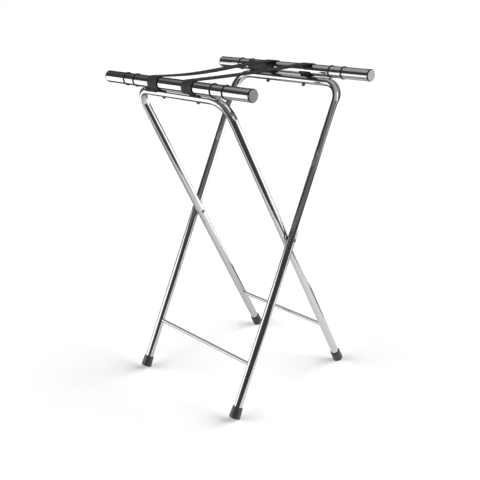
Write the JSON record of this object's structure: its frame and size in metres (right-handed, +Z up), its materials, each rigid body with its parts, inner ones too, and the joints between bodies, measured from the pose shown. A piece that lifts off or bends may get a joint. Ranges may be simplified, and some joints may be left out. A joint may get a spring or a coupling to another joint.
{
  "type": "folding tray stand",
  "caption": "Folding X-frame tray stand of chromed tube, with two level rails, rubber grip rings, webbing straps between the rails and rubber feet.",
  "frame": {"origin": "on the floor, in the middle between the four feet", "axes": "+X along the rails, +Y from the front rail to the rear rail, +Z up"},
  "size_m": [0.518, 0.421, 0.7881],
  "materials": {
    "chrome_frame_tube": "bright chrome plate on bent steel tube",
    "chrome_rail_tube": "bright chrome plate on straight steel tube",
    "chrome_cross_bar": "bright chrome plate on steel rod",
    "foot_rubber": "moulded black rubber, slight sheen",
    "ring_rubber": "moulded black rubber",
    "chrome_rail_cap": "satin chrome plate on a moulded end plug",
    "screw_steel": "black oxide steel",
    "rivet_steel": "plain plated steel",
    "spacer_nylon": "black nylon",
    "strap_webbing": "woven black webbing"
  },
  "bodies": {
    "inner_frame": {"inner_frame_tube": "chrome_frame_tube", "inner_cross_bar": "chrome_cross_bar", "inner_foot_left": "foot_rubber", "inner_foot_right": "foot_rubber", "front_rail_tube": "chrome_rail_tube", "front_rail_cap_left": "chrome_rail_cap", "front_rail_cap_right": "chrome_rail_cap", "front_rail_ring_1": "ring_rubber", "front_rail_ring_2": "ring_rubber", "front_rail_ring_3": "ring_rubber", "front_rail_ring_4": "ring_rubber", "front_rail_screws": "screw_steel", "pivot_rivet_left": "rivet_steel", "pivot_rivet_right": "rivet_steel", "pivot_spacer_left": "spacer_nylon", "pivot_spacer_right": "spacer_nylon", "strap_left": "strap_webbing", "strap_right": "strap_webbing"},
    "outer_frame": {"outer_frame_tube": "chrome_frame_tube", "outer_cross_bar": "chrome_cross_bar", "outer_foot_left": "foot_rubber", "outer_foot_right": "foot_rubber", "rear_rail_tube": "chrome_rail_tube", "rear_rail_cap_left": "chrome_rail_cap", "rear_rail_cap_right": "chrome_rail_cap", "rear_rail_ring_1": "ring_rubber", "rear_rail_ring_2": "ring_rubber", "rear_rail_ring_3": "ring_rubber", "rear_rail_ring_4": "ring_rubber", "rear_rail_screws": "screw_steel"}
  },
  "joints": [
    {"name": "fold", "type": "hinge", "parent": "inner_frame", "child": "outer_frame", "pos_m": [0, 0, 0.403], "axis": [1, 0, 0], "range_deg": [0, 48], "deforming": ["strap_left", "strap_right"]}
  ]
}
